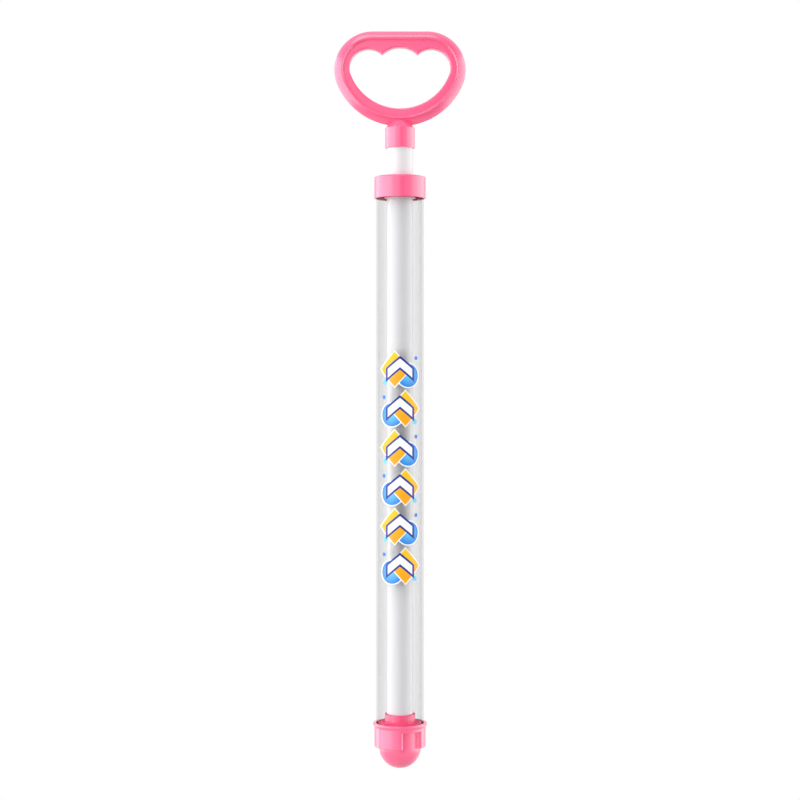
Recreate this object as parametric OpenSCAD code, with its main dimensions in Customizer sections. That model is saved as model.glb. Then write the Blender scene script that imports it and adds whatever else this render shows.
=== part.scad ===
// Push-pull water squirter: a clear barrel with a domed nozzle cap at one end, a guide collar at the
// other, and a plunger made of a loop handle, a hollow rod and a piston with a flat rubber seal.
// Millimetres. The origin is the middle of the nozzle mouth and +Z runs up the barrel to the handle.

/* [Barrel] */
// Outside diameter of the clear barrel tube
barrel_d = 32; // [26:0.5:40]
// Wall of the barrel tube
barrel_wall = 1.2; // [0.8:0.1:2]
// Length of the barrel tube, from its seat in the nozzle cap to its seat in the collar
barrel_len = 365.7; // [240:0.1:500]

/* [Printed film] */
// Height of the printed film that is stuck on the barrel
film_h = 156; // [80:1:180]
// Arc of the barrel that the film covers, in degrees
film_arc = 115; // [60:1:160]
// Place of the film's middle, as a share of the barrel's length from its lower end
film_mid_share = 0.477; // [0.4:0.001:0.6]
// Thickness of the film
film_t = 0.1; // [0.05:0.05:0.3]

/* [Nozzle cap] */
// Diameter of the nozzle bore
nozzle_d = 4; // [2:0.1:6]
// Length of the nozzle bore
nozzle_len = 5; // [3:0.5:8]
// Width of the small flat round the nozzle mouth
tip_flat_w = 1.5; // [0.5:0.1:3]
// How far the domed core stands in from the barrel's outside
core_step = 2; // [1:0.1:4]
// Wall of the domed core
core_wall = 2; // [1.2:0.1:3]
// Number of flutes round the core, each between two grip lobes
flute_count = 2; // [2:1:4]
// Arc of one flute, in degrees
flute_arc = 41; // [20:1:60]
// Turn of the first flute's middle from the front, in degrees
flute_turn = 28; // [-45:1:45]
// Height of the grip lobes
lobe_h = 11.3; // [8:0.1:16]
// Height of the lobes' lower ends above the middle of the dome
lobe_lift = 0.6; // [0:0.1:3]
// How far the lobes stand in from the skirt above them
lobe_step = 0.1; // [0.05:0.05:0.5]
// Wall of the cap round the barrel, below its lip
skirt_wall = 1.25; // [0.8:0.05:2]
// Floor between the lobes and the barrel's seat
seat_t = 1; // [0.8:0.1:2]
// Depth of the cup that takes the barrel
cup_depth = 3.6; // [3.4:0.1:8]
// How far the lip stands out past the skirt
lip_proud = 0.8; // [0.6:0.1:2]
// Height of the lip's upright rim
lip_h = 1.2; // [0.8:0.1:1.6]
// Height of the flare below the lip's rim
flare_h = 1.6; // [1:0.1:1.8]

/* [Collar] */
// Height of the collar
collar_h = 14.5; // [10:0.5:20]
// Wall of the collar round the barrel
collar_wall = 1.25; // [0.8:0.05:2]
// Thickness of the collar's top plate
plate_t = 2.5; // [1.5:0.1:4]
// Rounding of the collar's top edge
collar_round = 1; // [0.5:0.1:1.2]
// Length of the guide boss below the top plate
boss_len = 11.7; // [8:0.1:16]
// Wall of the guide boss round the rod
boss_wall = 1.15; // [0.8:0.05:2]

/* [Rod] */
// Outside diameter of the hollow plunger rod
rod_d = 17.6; // [14:0.2:20]
// Wall of the plunger rod
rod_wall = 1.5; // [1:0.1:2.5]
// Length of rod that shows between the collar and the handle when pushed in
rod_show = 19; // [10:0.5:40]

/* [Piston] */
// Thickness of the rubber seal
seal_t = 1.9; // [1:0.1:2.2]
// Thickness of the flange that backs the seal
flange_t = 1.3; // [0.8:0.1:2]
// Height of the hub sleeve that holds the rod
hub_h = 5.9; // [4:0.1:10]
// Wall of the hub sleeve
hub_wall = 1.4; // [1:0.1:2]
// Height of the spigot inside the rod
spigot_h = 14; // [12:0.5:30]
// Gap between the retainer's button and the cavity of the cap
button_gap = 3; // [1:0.1:4]
// Thickness of the retainer's button
button_t = 4; // [2:0.1:6]
// Rounding of the button's lower edge
button_round = 1.5; // [0.5:0.1:1.8]
// Diameter of the retainer's stem
stem_d = 7; // [5:0.1:9]
// Length of the retainer's stem above the seal
stem_len = 10; // [6:0.5:11]

/* [Handle] */
// Depth of the socket that takes the rod
socket_depth = 13.6; // [10:0.1:20]
// Wall of the socket round the rod
socket_wall = 1.15; // [0.8:0.05:2]
// Rounding of the socket's lower edge
socket_round = 0.4; // [0.2:0.1:0.7]
// How far the socket's cone shows below the loop
loop_lift = 1.4; // [0.5:0.1:3]
// Width of the loop
loop_w = 88; // [80:1:100]
// Height of the loop
loop_h = 63.4; // [60:0.1:70]
// How far the loop's belly hangs below its corner arcs
belly_drop = 11.9; // [8:0.1:14]
// Radius of the round rim bar
rim_r = 5.2; // [4:0.1:6]
// Width of the rim before it steps down to the web
rim_band = 6; // [5:0.1:6.5]
// Thickness of the web inside the rim
web_t = 7; // [5:0.1:8]
// Width of the loop's bar at its sides
side_w = 10.33; // [9:0.1:12]
// Height of the grip above the outer fingers
grip_h = 12.1; // [11:0.1:15]
// Height of the grip above the middle finger
mid_grip_h = 11; // [10:0.1:12]
// Height of the bar at the bottom of the loop
belly_w = 11.6; // [10:0.1:14]
// Radius of the two outer finger scallops
finger_r = 12.67; // [11:0.1:14]
// Radius of the middle finger scallop
mid_finger_r = 16.93; // [15:0.1:18]

/* [Fits] */
// Gap for the adhesive between glued pieces
glue_gap = 0.05; // [0.02:0.01:0.1]
// Gap between the rod and its guide
rod_gap = 0.3; // [0.2:0.05:0.5]
// Gap between the seal and the barrel's bore
seal_gap = 0.08; // [0.05:0.01:0.1]
// Gap between the piston flange and the barrel's bore
flange_gap = 0.5; // [0.3:0.05:1]
// Gap between the seal and the pieces that clamp it
seal_play = 0.05; // [0.03:0.01:0.1]
// Gap between the pushed-in seal and the floor of the cap
stop_gap = 0.3; // [0.2:0.05:0.5]

/* [Hidden] */
$fn = 96;

// Colours of the mouldings, tube, rod and rubber
pink = [1, 0.45, 0.6];
clear = [0.88, 0.9, 0.91, 0.35];
white = [0.95, 0.95, 0.95];
black = [0.08, 0.08, 0.09];

// Overrun of every cut past the face that it opens
overrun = 0.5;
// Lap of the web into the rim that it carries, deeper at the corners than elsewhere
web_lap = 0.5;
corner_web_lap = 1;
// Lap of the rim's corner arcs into their neighbours, where they are finer by a small step
seam_lap = 0.3;
seam_step = 0.02;
// Gap between the film and the barrel, where its adhesive lies
film_gap = 0.02;

// Radii round the barrel's axis
barrel_r = barrel_d / 2;
bore_r = barrel_r - barrel_wall;
cup_r = barrel_r + glue_gap;
skirt_r = cup_r + skirt_wall;
lobe_r = skirt_r - lobe_step;
lip_r = skirt_r + lip_proud;
core_r = barrel_r - core_step;
cavity_r = core_r - core_wall;
nozzle_r = nozzle_d / 2;
tip_flat_r = nozzle_r + tip_flat_w;
collar_r = cup_r + collar_wall;
rod_r = rod_d / 2;
rod_bore_r = rod_r - rod_wall;
guide_r = rod_r + rod_gap;
boss_r = guide_r + boss_wall;
hub_bore_r = rod_r + glue_gap;
hub_r = rod_r + hub_wall;
spigot_r = rod_bore_r - glue_gap;
flange_r = bore_r - flange_gap;
seal_r = bore_r - seal_gap;
stem_r = stem_d / 2;
button_r = cavity_r - button_gap;
socket_bore_r = rod_r + glue_gap;
socket_r = socket_bore_r + socket_wall;

// Heights above the nozzle mouth
dome_z = sqrt(pow(core_r, 2) - pow(tip_flat_r, 2));
lobe_z = dome_z + lobe_lift;
flute_top_z = lobe_z + lobe_h;
seat_z = flute_top_z + seat_t;
cap_top_z = seat_z + cup_depth;
barrel_top_z = seat_z + barrel_len;
collar_top_z = barrel_top_z + plate_t;
collar_z = collar_top_z - collar_h;
boss_z = barrel_top_z - boss_len;
button_top_z = seat_z + stop_gap;
flange_z = button_top_z + seal_t + 2 * seal_play;
rod_z = flange_z + flange_t;
hub_top_z = rod_z + hub_h;
socket_z = collar_top_z + rod_show;
rod_top_z = socket_z + socket_depth;
loop_z = rod_top_z + loop_lift;

// Outline of the loop: two corner arcs and one belly arc that touches both
corner_r = (loop_h - belly_drop) / 2;
corner_x = loop_w / 2 - corner_r;
corner_h = loop_h - corner_r;
belly_rise = (pow(corner_x, 2) - pow(belly_drop, 2)) / (2 * belly_drop);
belly_h = corner_h + belly_rise;
belly_angle = atan2(belly_rise, corner_x);

// Outline of the finger opening: two finger arcs, a middle scallop and a lower arc that touches both
finger_x = loop_w / 2 - side_w - finger_r;
finger_h = loop_h - grip_h - finger_r;
finger_drop = finger_h - finger_r - belly_w;
lower_rise = (pow(finger_x, 2) - pow(finger_drop, 2)) / (2 * finger_drop);
lower_h = finger_h + lower_rise;
lower_angle = atan2(lower_rise, finger_x);
mid_finger_h = loop_h - mid_grip_h - mid_finger_r;

// Sector of a disc between two angles
module pie(r, from, to) {
    reach = 2 * r;
    step = (to - from) / 3;
    rim = [for (i = [0:3]) reach * [cos(from + i * step), sin(from + i * step)]];
    intersection() {
        circle(r);
        polygon(concat([[0, 0]], rim));
    }
}

// Ring between two radii and two heights, as a profile for turning
module band(inner, outer, low, high) {
    translate([inner, low])
        square([outer - inner, high - low]);
}

// Copy of a shape and its mirror image across the loop's middle
module both_sides() {
    children();
    mirror([1, 0, 0])
        children();
}

// Straight clear tube
module barrel_tube() {
    color(clear)
        rotate_extrude()
            band(bore_r, barrel_r, seat_z, barrel_top_z);
}

// Thin printed film round the front of the barrel
module label_film() {
    film_r = barrel_r + film_gap;
    film_z = seat_z + film_mid_share * barrel_len - film_h / 2;
    color(white)
        rotate([0, 0, -90 - film_arc / 2])
            rotate_extrude(angle = film_arc)
                band(film_r, film_r + film_t, film_z, film_z + film_h);
}

// Domed core, from the flat round the nozzle mouth up to the barrel's seat
module cap_core_profile() {
    intersection() {
        translate([0, dome_z])
            circle(core_r);
        band(0, core_r, 0, dome_z);
    }
    band(0, core_r, dome_z, seat_z);
}

// Cup for the barrel, with the flared lip round its mouth
module cap_cup_profile() {
    flare_z = cap_top_z - lip_h - flare_h;
    polygon([
        [0, flute_top_z],
        [skirt_r, flute_top_z],
        [skirt_r, flare_z],
        [lip_r, flare_z + flare_h],
        [lip_r, cap_top_z],
        [0, cap_top_z]
    ]);
}

// Hollow of the cap: nozzle bore, round-floored cavity and the barrel's cup
module cap_hollow_profile() {
    band(0, nozzle_r, -overrun, dome_z);
    intersection() {
        translate([0, dome_z])
            circle(cavity_r);
        band(0, cavity_r, nozzle_len, dome_z);
    }
    band(0, cavity_r, dome_z, seat_z + overrun);
    band(0, cup_r, seat_z, cap_top_z + overrun);
}

// Grip lobes that stand out from the core, rooted half way into its wall and into the cup's floor
module cap_lobes() {
    root_r = core_r - core_wall / 2;
    root_z = flute_top_z + seat_t / 2;
    pitch = 360 / flute_count;
    for (i = [0:flute_count - 1])
        rotate([0, 0, -90 + flute_turn + flute_arc / 2 + i * pitch])
            rotate_extrude(angle = pitch - flute_arc)
                band(root_r, lobe_r, lobe_z, root_z);
}

// Domed nozzle cap with its lobes, lip and nozzle bore
module nozzle_cap() {
    color(pink) {
        rotate_extrude()
            difference() {
                union() {
                    cap_core_profile();
                    cap_cup_profile();
                }
                cap_hollow_profile();
            }
        cap_lobes();
    }
}

// Collar that closes the barrel's top and guides the rod
module collar_cap() {
    color(pink)
        rotate_extrude()
            union() {
                band(cup_r, collar_r, collar_z, barrel_top_z);
                band(guide_r, collar_r, barrel_top_z, collar_top_z - collar_round);
                band(guide_r, collar_r - collar_round, barrel_top_z, collar_top_z);
                translate([collar_r - collar_round, collar_top_z - collar_round])
                    circle(collar_round);
                band(guide_r, boss_r, boss_z, barrel_top_z);
            }
}

// Straight hollow rod
module plunger_rod() {
    color(white)
        rotate_extrude()
            band(rod_bore_r, rod_r, rod_z, rod_top_z);
}

// Hub glued to the rod's lower end: flange, sleeve outside the rod and spigot inside it
module piston_hub() {
    color(pink)
        rotate_extrude()
            difference() {
                union() {
                    band(0, flange_r, flange_z, rod_z);
                    band(hub_bore_r, hub_r, rod_z, hub_top_z);
                    band(0, spigot_r, rod_z, rod_z + spigot_h);
                }
                band(0, stem_r + glue_gap, flange_z - overrun, flange_z + stem_len + glue_gap);
            }
}

// Flat rubber seal clamped under the flange
module piston_seal() {
    seal_z = button_top_z + seal_play;
    color(black)
        rotate_extrude()
            union() {
                band(stem_r + seal_play, seal_r - seal_t / 2, seal_z, seal_z + seal_t);
                translate([seal_r - seal_t / 2, seal_z + seal_t / 2])
                    circle(seal_t / 2);
            }
}

// Button with a stem that clamps the seal to the hub
module piston_retainer() {
    button_z = button_top_z - button_t;
    color(pink)
        rotate_extrude()
            union() {
                band(0, button_r, button_z + button_round, button_top_z);
                band(0, button_r - button_round, button_z, button_top_z);
                translate([button_r - button_round, button_z + button_round])
                    circle(button_round);
                band(0, stem_r, button_top_z, flange_z + stem_len);
            }
}

// Section of the rim bar, with its outer face at the given radius and all its faces drawn in by a step
module rim_section(outer, step = 0) {
    intersection() {
        translate([outer - rim_r, 0])
            circle(rim_r - step);
        translate([outer - rim_band + step, -rim_r])
            square([rim_band, 2 * rim_r]);
    }
}

// Part of the rim that follows an arc
module rim_arc(outer, from, to, step = 0) {
    rotate([0, 0, from])
        rotate_extrude(angle = to - from)
            rim_section(outer, step);
}

// Whole rim of the loop, lying flat with its belly at the origin
module loop_rim() {
    seam_angle = seam_lap / corner_r * 180 / PI;
    both_sides()
        translate([corner_x, corner_h, 0])
            rim_arc(corner_r, -belly_angle - seam_angle, 90 + seam_angle, seam_step);
    translate([0, belly_h, 0])
        rim_arc(belly_h, belly_angle - 180, -belly_angle);
    translate([-corner_x, corner_h, 0])
        rotate([90, 0, 90])
            linear_extrude(2 * corner_x)
                rim_section(corner_r);
}

// Face of the loop inside the rim, with its edge lapped into the rim
module web_face() {
    inset = rim_band - web_lap;
    both_sides()
        translate([corner_x, corner_h])
            circle(corner_r - rim_band + corner_web_lap);
    translate([0, belly_h])
        pie(belly_h - inset, belly_angle - 180, -belly_angle);
    translate([-corner_x, corner_h])
        square([2 * corner_x, loop_h - inset - corner_h]);
}

// Opening for three fingers
module finger_opening() {
    both_sides()
        translate([finger_x, finger_h])
            pie(finger_r, -lower_angle, 180 - lower_angle);
    translate([0, lower_h])
        pie(lower_h - belly_w, lower_angle - 180, -lower_angle);
    translate([0, mid_finger_h])
        pie(mid_finger_r, 0, 180);
}

// Loop of the handle, standing upright across the barrel's axis
module handle_loop() {
    translate([0, 0, loop_z])
        rotate([90, 0, 0]) {
            loop_rim();
            linear_extrude(web_t, center = true)
                difference() {
                    web_face();
                    finger_opening();
                }
        }
}

// Socket for the rod, with a cone that runs up into the loop
module handle_socket_profile() {
    difference() {
        union() {
            band(0, socket_r, socket_z + socket_round, rod_top_z);
            band(0, socket_r - socket_round, socket_z, rod_top_z);
            translate([socket_r - socket_round, socket_z + socket_round])
                circle(socket_round);
            polygon([
                [0, rod_top_z],
                [socket_r, rod_top_z],
                [0, rod_top_z + socket_r]
            ]);
        }
        band(0, socket_bore_r, socket_z - overrun, rod_top_z);
    }
}

// Loop handle with its socket
module handle() {
    color(pink) {
        handle_loop();
        rotate_extrude()
            handle_socket_profile();
    }
}

barrel_tube();
label_film();
nozzle_cap();
collar_cap();
plunger_rod();
handle();
piston_hub();
piston_seal();
piston_retainer();
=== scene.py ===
# %% [markdown]
# # A push-pull water squirter
#
# The toy is a clear barrel with a pink nozzle cap below and a pink guide collar above, and a plunger made
# of a loop handle, a hollow white rod and a piston with a rubber seal. The CAD frame already holds every
# piece at its real size and in its real place. This lesson dresses that frame: each CAD node is replaced
# by a finer mesh with rounded edges, whose sizes are read off the frame, and each finish is made of nodes.

# %% Load the frame
import math

import bmesh
import bpy
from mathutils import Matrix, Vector


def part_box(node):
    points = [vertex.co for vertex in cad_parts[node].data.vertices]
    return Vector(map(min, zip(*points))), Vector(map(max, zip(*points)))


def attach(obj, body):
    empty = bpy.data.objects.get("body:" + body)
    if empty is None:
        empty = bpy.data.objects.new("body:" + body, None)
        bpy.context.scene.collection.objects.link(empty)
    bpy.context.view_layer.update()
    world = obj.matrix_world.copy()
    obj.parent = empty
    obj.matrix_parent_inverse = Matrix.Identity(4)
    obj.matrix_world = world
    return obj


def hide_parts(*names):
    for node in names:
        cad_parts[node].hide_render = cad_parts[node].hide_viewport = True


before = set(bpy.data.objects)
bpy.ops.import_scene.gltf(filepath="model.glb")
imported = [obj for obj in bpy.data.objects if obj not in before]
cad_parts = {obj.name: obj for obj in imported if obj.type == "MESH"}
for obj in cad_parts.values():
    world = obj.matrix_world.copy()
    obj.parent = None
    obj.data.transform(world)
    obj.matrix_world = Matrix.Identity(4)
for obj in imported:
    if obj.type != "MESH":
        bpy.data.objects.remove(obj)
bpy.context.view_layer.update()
MM = 0.001

# %% [markdown]
# ## Reading sizes off the frame
#
# Most pieces of this toy are turned about the barrel's axis, so a piece is known by the radius and height
# of its corners. The CAD meshes hold exactly those corners. Reading them here means that a new pack with
# another barrel still gets skins that fit, where typed numbers would have to be found and changed by hand.

# %% Corners of a turned piece
SAME = 0.005 * MM


def distinct(values):
    """The values in rising order, with near copies left out."""
    kept = []
    for value in sorted(values):
        if not kept or value - kept[-1] > SAME:
            kept.append(value)
    return kept


def corners_of(name):
    """(radius, height) of every vertex of a CAD node, in metres."""
    return [(math.hypot(v.co.x, v.co.y), v.co.z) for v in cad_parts[name].data.vertices]


def radii_of(name):
    """All radii of a CAD node's corners, smallest first."""
    return distinct(r for r, z in corners_of(name))


def heights_at(name, radius):
    """Heights of a CAD node's corners at one radius, lowest first."""
    return distinct(z for r, z in corners_of(name) if abs(r - radius) < SAME)


def radii_at(name, height):
    """Radii of a CAD node's corners at one height, smallest first."""
    return distinct(r for r, z in corners_of(name) if abs(z - height) < SAME)


def tube_sizes(name):
    """Inner radius, outer radius, lowest and highest height of a straight tube."""
    radii, heights = zip(*corners_of(name))
    return min(radii), max(radii), min(heights), max(heights)


for tube in ("barrel_tube", "plunger_rod"):
    print(tube, "in mm:", [round(size / MM, 2) for size in tube_sizes(tube)])

# %% [markdown]
# ## Small helpers for shader nodes
#
# A finish here is a chain of nodes, and writing out each node with its links takes many lines. These
# helpers keep the recipes short. The Flow class lets a pattern be written as plain arithmetic: each sum
# adds one Math node, so the finished material is still an ordinary node tree that can be opened and edited.

# %% Screen colours
def linear(red, green, blue):
    """A screen colour of 0 to 255 as the linear colour that shaders work in."""
    shares = [value / 255 for value in (red, green, blue)]
    return [s / 12.92 if s < 0.04045 else ((s + 0.055) / 1.055) ** 2.4 for s in shares] + [1.0]


print("a pink in linear light:", [round(v, 3) for v in linear(255, 110, 150)])

# %% Nodes and sums of nodes
def set_inputs(tree, node, inputs):
    """Fills a node's inputs: a socket or a Flow is linked, anything else is the input's plain value."""
    for name, value in inputs.items():
        source = value.socket if isinstance(value, Flow) else value
        if isinstance(source, bpy.types.NodeSocket):
            tree.links.new(source, node.inputs[name])
        else:
            node.inputs[name].default_value = source


def add_node(tree, kind, inputs=None, **settings):
    """Adds a shader node with its settings and inputs."""
    node = tree.nodes.new("ShaderNode" + kind)
    for name, value in settings.items():
        setattr(node, name, value)
    set_inputs(tree, node, inputs or {})
    return node


class Flow:
    """A number that runs through a node tree, so that a pattern reads as a sum."""

    def __init__(self, tree, socket):
        self.tree = tree
        self.socket = socket

    def sum(self, operation, *others):
        inputs = dict(enumerate([self, *others]))
        return Flow(self.tree, add_node(self.tree, "Math", inputs, operation=operation).outputs[0])

    def __add__(self, other):
        return self.sum("ADD", other)

    def __sub__(self, other):
        return self.sum("SUBTRACT", other)

    def __mul__(self, other):
        return self.sum("MULTIPLY", other)

    def __abs__(self):
        return self.sum("ABSOLUTE")

    def __lt__(self, other):
        return self.sum("LESS_THAN", other)

    def __gt__(self, other):
        return self.sum("GREATER_THAN", other)

    def most(self, other):
        return self.sum("MAXIMUM", other)


print("sums that become nodes: plus, minus, times, abs, less, greater, most")

# %% Mixes, bumps and new finishes
def mixed(tree, share, below, above):
    """Colour that goes from below to above as the share goes from 0 to 1."""
    return add_node(tree, "Mix", {0: share, 6: below, 7: above}, data_type="RGBA").outputs[2]


def bumped(tree, height, depth):
    """Normal of a surface with a relief of this height, whose full depth is in metres."""
    return add_node(tree, "Bump", {"Height": height, "Distance": depth}).outputs["Normal"]


def new_finish(name):
    """Material with a Principled shader. Returns the material, its tree and the shader."""
    material = bpy.data.materials.new(name)
    material.use_nodes = True
    return material, material.node_tree, material.node_tree.nodes["Principled BSDF"]


print("shader helpers:", mixed.__name__, bumped.__name__, new_finish.__name__)

# %% [markdown]
# ## Surface effects that the finishes share
#
# Moulded and drawn plastic show the same few traces: a fine grain left by the mould, slow changes of shade
# where the melt flowed, lines along a tube from the die that it was drawn through, and hairline marks
# from handling. Each trace could be repeated in every material. Here each is one node group with named
# sockets, so that a finish only states how strong and how fine it wants it.

# %% Group helper and the mould's grain
def new_group(name, inputs, outputs):
    """Node group with number sockets. Returns its tree, its input node and its output node."""
    tree = bpy.data.node_groups.new(name, "ShaderNodeTree")
    for label, default in inputs.items():
        socket = tree.interface.new_socket(label, in_out="INPUT", socket_type="NodeSocketFloat")
        socket.default_value = default
    for label in outputs:
        tree.interface.new_socket(label, in_out="OUTPUT", socket_type="NodeSocketFloat")
    return tree, tree.nodes.new("NodeGroupInput"), tree.nodes.new("NodeGroupOutput")


def use_group(tree, name, inputs):
    """Places a shared group in a material with its own values. Returns its outputs by name."""
    node = add_node(tree, "Group", inputs, node_tree=bpy.data.node_groups[name])
    return {output.name: Flow(tree, output) for output in node.outputs}


def place_in(tree):
    """Place on the piece, in metres, which moves with the piece."""
    return add_node(tree, "TexCoord").outputs["Object"]


def noise_in(tree, place, scale, detail):
    """Smooth noise from 0 to 1 at a place, with this many waves to the metre."""
    inputs = {"Vector": place, "Scale": scale, "Detail": detail}
    return Flow(tree, add_node(tree, "TexNoise", inputs).outputs[0])


def moulded_skin_group():
    """Fine grain as a height, and slow flow marks as a shade."""
    tree, given, made = new_group("moulded skin", {"Grain": 900.0, "Flow": 45.0}, ["Height", "Shade"])
    place = place_in(tree)
    grain = noise_in(tree, place, given.outputs["Grain"], 3.0)
    flow = noise_in(tree, place, given.outputs["Flow"], 1.5)
    set_inputs(tree, made, {"Height": grain, "Shade": flow})


moulded_skin_group()
print("group: moulded skin")

# %% Lines along a drawn tube, and marks from handling
MARK_TURN = (0.5, 0.3, 0.9)
MARK_STRETCH = (1, 1, 0.1)
PATCH_WAVES = 60.0
PATCH_LEAST = 0.55


def drawn_lines_group():
    """Lines that run along the axis of a tube, as a height that changes only round it."""
    tree, given, made = new_group("drawn lines", {"Fineness": 12.0}, ["Height"])
    flat = add_node(tree, "VectorMath", {0: place_in(tree), 1: (1, 1, 0)}, operation="MULTIPLY")
    turn = add_node(tree, "VectorMath", {0: flat.outputs[0]}, operation="NORMALIZE")
    lines = noise_in(tree, turn.outputs[0], given.outputs["Fineness"], 4.0)
    set_inputs(tree, made, {"Height": lines})


def handling_marks_group():
    """Hairline marks in scattered patches, 1 on a mark and 0 elsewhere."""
    tree, given, made = new_group("handling marks", {"Scale": 150.0, "Width": 0.008}, ["Mark"])
    place = place_in(tree)
    slant = add_node(tree, "Mapping", {"Vector": place, "Rotation": MARK_TURN, "Scale": MARK_STRETCH})
    ridge = abs(noise_in(tree, slant.outputs[0], given.outputs["Scale"], 2.0) - 0.5)
    hairline = ridge < given.outputs["Width"]
    patch = noise_in(tree, place, PATCH_WAVES, 1.0) > PATCH_LEAST
    set_inputs(tree, made, {"Mark": hairline * patch})


drawn_lines_group()
handling_marks_group()
print("groups:", [group.name for group in bpy.data.node_groups])

# %% [markdown]
# ## Pink moulding plastic
#
# Cap, collar, handle and piston are moulded in one satin pink. A single flat colour would look like a
# drawing, so the shade drifts a little with the flow of the melt, the grain breaks up the gloss and the
# hairline marks are slightly duller. A clear coat on the Principled shader gives the second, softer shine
# that such plastic has, and its values stay plain numbers because they are the same all over. The piston's
# mouldings are polished on their upright walls only, so their level faces are matt.

# %% Pink plastic
PINK = linear(254, 88, 139)
PINK_DEEP = linear(250, 82, 133)
MOULD_GRAIN_DEPTH = 0.004 * MM


def pink_plastic(name, specular):
    """Pink plastic of the mouldings, with more or less shine."""
    material, tree, shader = new_finish(name)
    skin = use_group(tree, "moulded skin", {"Grain": 1100.0, "Flow": 40.0})
    marks = use_group(tree, "handling marks", {"Scale": 170.0, "Width": 0.006})
    set_inputs(tree, shader, {
        "Base Color": mixed(tree, skin["Shade"], PINK, PINK_DEEP),
        "Roughness": skin["Shade"] * 0.06 + 0.30 + marks["Mark"] * 0.12,
        "Normal": bumped(tree, skin["Height"], MOULD_GRAIN_DEPTH),
        "IOR": 1.5,
        "Specular IOR Level": specular,
        "Coat Weight": 1.0,
        "Coat IOR": 1.7,
        "Coat Roughness": 0.26,
    })
    return material


def piston_plastic():
    """The same plastic, but matt on the faces that lie level in the barrel."""
    material = pink_plastic("pink_piston", 0.0)
    tree = material.node_tree
    normal = add_node(tree, "SeparateXYZ", {0: add_node(tree, "NewGeometry").outputs["Normal"]})
    level = abs(Flow(tree, normal.outputs[2]))
    set_inputs(tree, tree.nodes["Principled BSDF"], {"Coat Weight": level * -1.0 + 1.0})
    return material


pink = pink_plastic("pink_moulding", 0.5)
pink_matt = piston_plastic()
print("finishes:", pink.name, pink_matt.name)

# %% [markdown]
# ## White rod plastic
#
# The rod is a drawn tube of opaque white plastic. It has the same grain, but its own mark is the set of
# faint lines along its length. They are a relief of a few hundredths of a millimetre: enough to streak the
# gloss, too little to change the outline.

# %% White plastic
ROD_WHITE = linear(224, 224, 226)
ROD_SHADE = linear(218, 218, 220)
ROD_LINE_DEPTH = 0.03 * MM


def white_plastic():
    """White plastic of the drawn rod."""
    material, tree, shader = new_finish("white_rod")
    skin = use_group(tree, "moulded skin", {"Grain": 700.0, "Flow": 30.0})
    lines = use_group(tree, "drawn lines", {"Fineness": 9.0})
    set_inputs(tree, shader, {
        "Base Color": mixed(tree, lines["Height"], ROD_WHITE, ROD_SHADE),
        "Roughness": skin["Shade"] * 0.06 + 0.27,
        "Normal": bumped(tree, lines["Height"] + skin["Height"] * 0.15, ROD_LINE_DEPTH),
        "IOR": 1.5,
        "Coat Weight": 0.5,
        "Coat Roughness": 0.24,
    })
    return material


white = white_plastic()
print("finish:", white.name)

# %% [markdown]
# ## Clear barrel plastic
#
# The barrel is a clear drawn tube with a thin wall. Seen face on, the wall is all but invisible. Towards the
# tube's sides the view runs through more and more plastic, which takes some light and shows as a pale grey.
# Glass with true refraction could show that too, but a wall this thin hardly bends the view, and its four
# faces would mirror the lamps over the rod. So the wall is a faint grey whose alpha grows with Layer
# Weight's Facing, and the lines of the die streak it.

# %% Clear plastic
CLEAR_GREY = linear(92, 94, 96)
CLEAR_PALE = linear(112, 114, 116)
FACE_ALPHA = 0.025
SIDE_ALPHA = 0.19
STREAK_ALPHA = 0.34
BARREL_LINE_DEPTH = 0.02 * MM


def clear_plastic():
    """Clear plastic of the drawn barrel."""
    material, tree, shader = new_finish("clear_barrel")
    lines = use_group(tree, "drawn lines", {"Fineness": 11.0})
    marks = use_group(tree, "handling marks", {"Scale": 120.0, "Width": 0.004})
    aside = Flow(tree, add_node(tree, "LayerWeight", {"Blend": 0.5}).outputs["Facing"])
    streak = (lines["Height"] - 0.5) * STREAK_ALPHA
    set_inputs(tree, shader, {
        "Base Color": mixed(tree, lines["Height"], CLEAR_GREY, CLEAR_PALE),
        "Alpha": aside * (streak + SIDE_ALPHA) + FACE_ALPHA,
        "Roughness": marks["Mark"] * 0.1 + 0.12,
        "Normal": bumped(tree, lines["Height"], BARREL_LINE_DEPTH),
        "IOR": 1.5,
    })
    return material


clear = clear_plastic()
print("finish:", clear.name)

# %% [markdown]
# ## Seal rubber
#
# The seal is a flat disc of black rubber inside the barrel. Rubber is dull and never quite black, so its
# colour is a dark grey with a coarser grain and a high roughness.

# %% Rubber
RUBBER = linear(42, 42, 44)
RUBBER_WORN = linear(58, 58, 60)
RUBBER_GRAIN_DEPTH = 0.03 * MM


def black_rubber():
    """Dull black rubber of the seal."""
    material, tree, shader = new_finish("black_seal_rubber")
    skin = use_group(tree, "moulded skin", {"Grain": 1600.0, "Flow": 220.0})
    set_inputs(tree, shader, {
        "Base Color": mixed(tree, skin["Shade"], RUBBER, RUBBER_WORN),
        "Roughness": skin["Height"] * 0.2 + 0.6,
        "Normal": bumped(tree, skin["Height"], RUBBER_GRAIN_DEPTH),
    })
    return material


rubber = black_rubber()
print("finish:", rubber.name)

# %% [markdown]
# ## Printed film
#
# The barrel's front carries a bright print on clear film. The print is drawn by sums on the film's own
# coordinates, in millimetres across and along it: a row of equal cells, each with a chevron over a
# lozenge and a disc, with two dots beside them, and every second cell mirrored. Each shape is a mask that
# covers what lies under it, and all masks together are the film's alpha, so that the bare film stays clear.

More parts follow.
